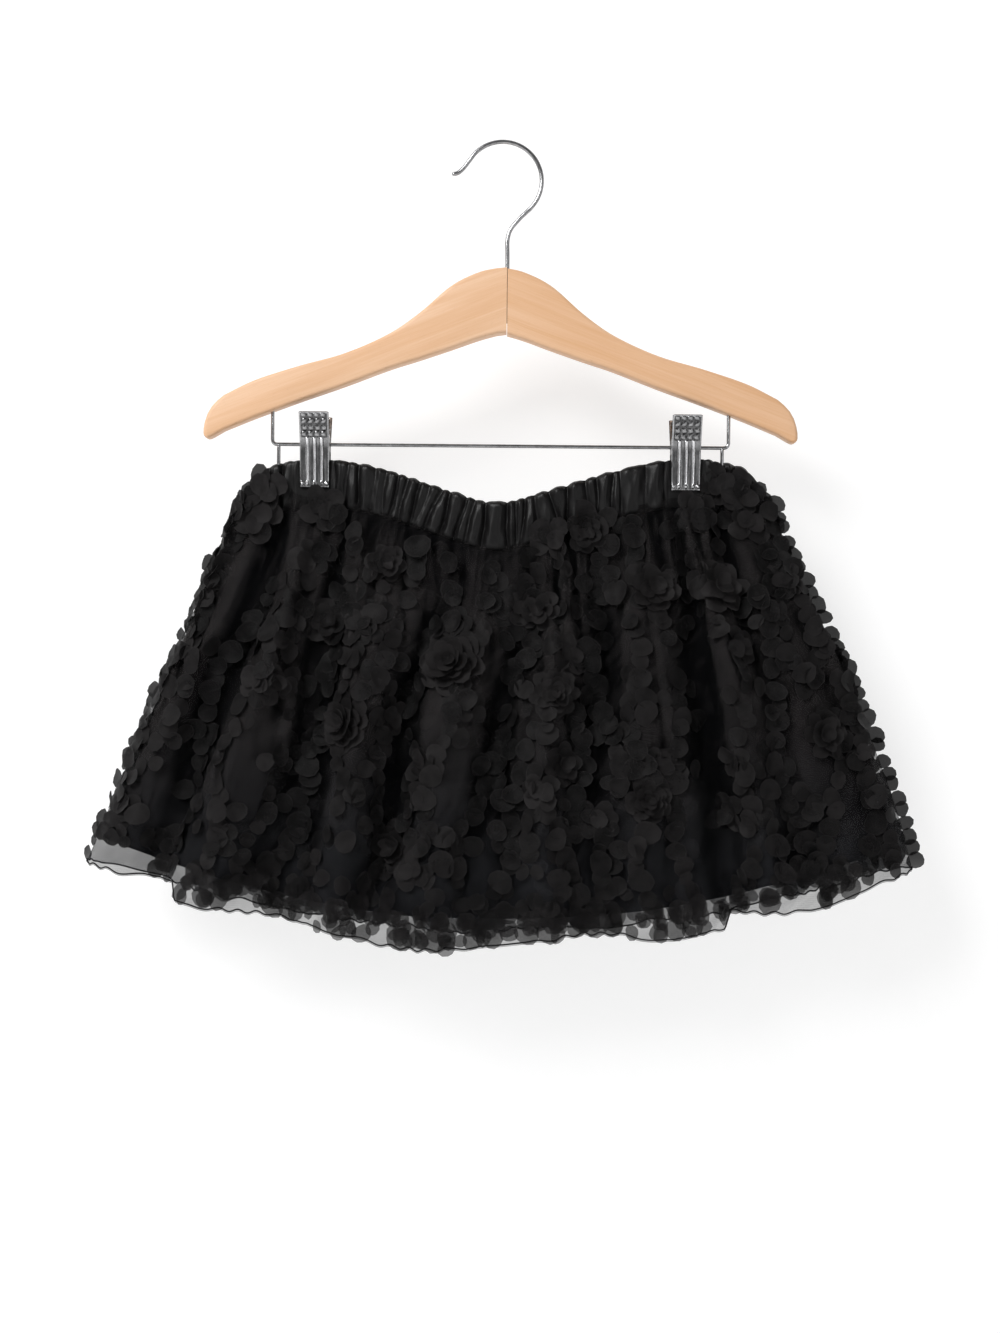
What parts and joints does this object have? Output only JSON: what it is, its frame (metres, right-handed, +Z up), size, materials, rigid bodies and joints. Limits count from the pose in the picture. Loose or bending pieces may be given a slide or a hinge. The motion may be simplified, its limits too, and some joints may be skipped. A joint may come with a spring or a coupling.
{
  "type": "tulle skirt on a clip hanger",
  "caption": "Child's gathered tulle skirt with petal applique, lining and ruched elastic waistband, hung by two spring clips from the bar of a wooden hanger with a wire hook",
  "frame": {"origin": "inner top of the hook, where the rail carries the hanger", "axes": "+X to the right seen from the front, +Y to the back, +Z up"},
  "size_m": [0.4464, 0.0841, 0.4344],
  "materials": {
    "wire": "bright drawn steel wire, 2 to 2.4 mm",
    "hanger_wood": "pale beech, sanded with rounded edges and a clear satin lacquer",
    "clip_plate": "nickel-plated pressed steel sheet, knurled above and ribbed below",
    "clip_spring": "coiled spring steel",
    "satin": "black satin, ruched over wide elastic",
    "tulle": "fine black net with sewn organza petals and layered flowers",
    "lining": "plain opaque black lining"
  },
  "bodies": {
    "root": {"hook": "wire", "hanger_arm_left": "hanger_wood", "hanger_arm_right": "hanger_wood", "clip_bar": "wire", "clip_left_front": "clip_plate", "clip_left_back": "clip_plate", "clip_left_spring": "clip_spring", "clip_right_front": "clip_plate", "clip_right_back": "clip_plate", "clip_right_spring": "clip_spring", "waistband": "satin", "tulle_front": "tulle", "tulle_back": "tulle", "lining_front": "lining", "lining_back": "lining"}
  },
  "joints": []
}
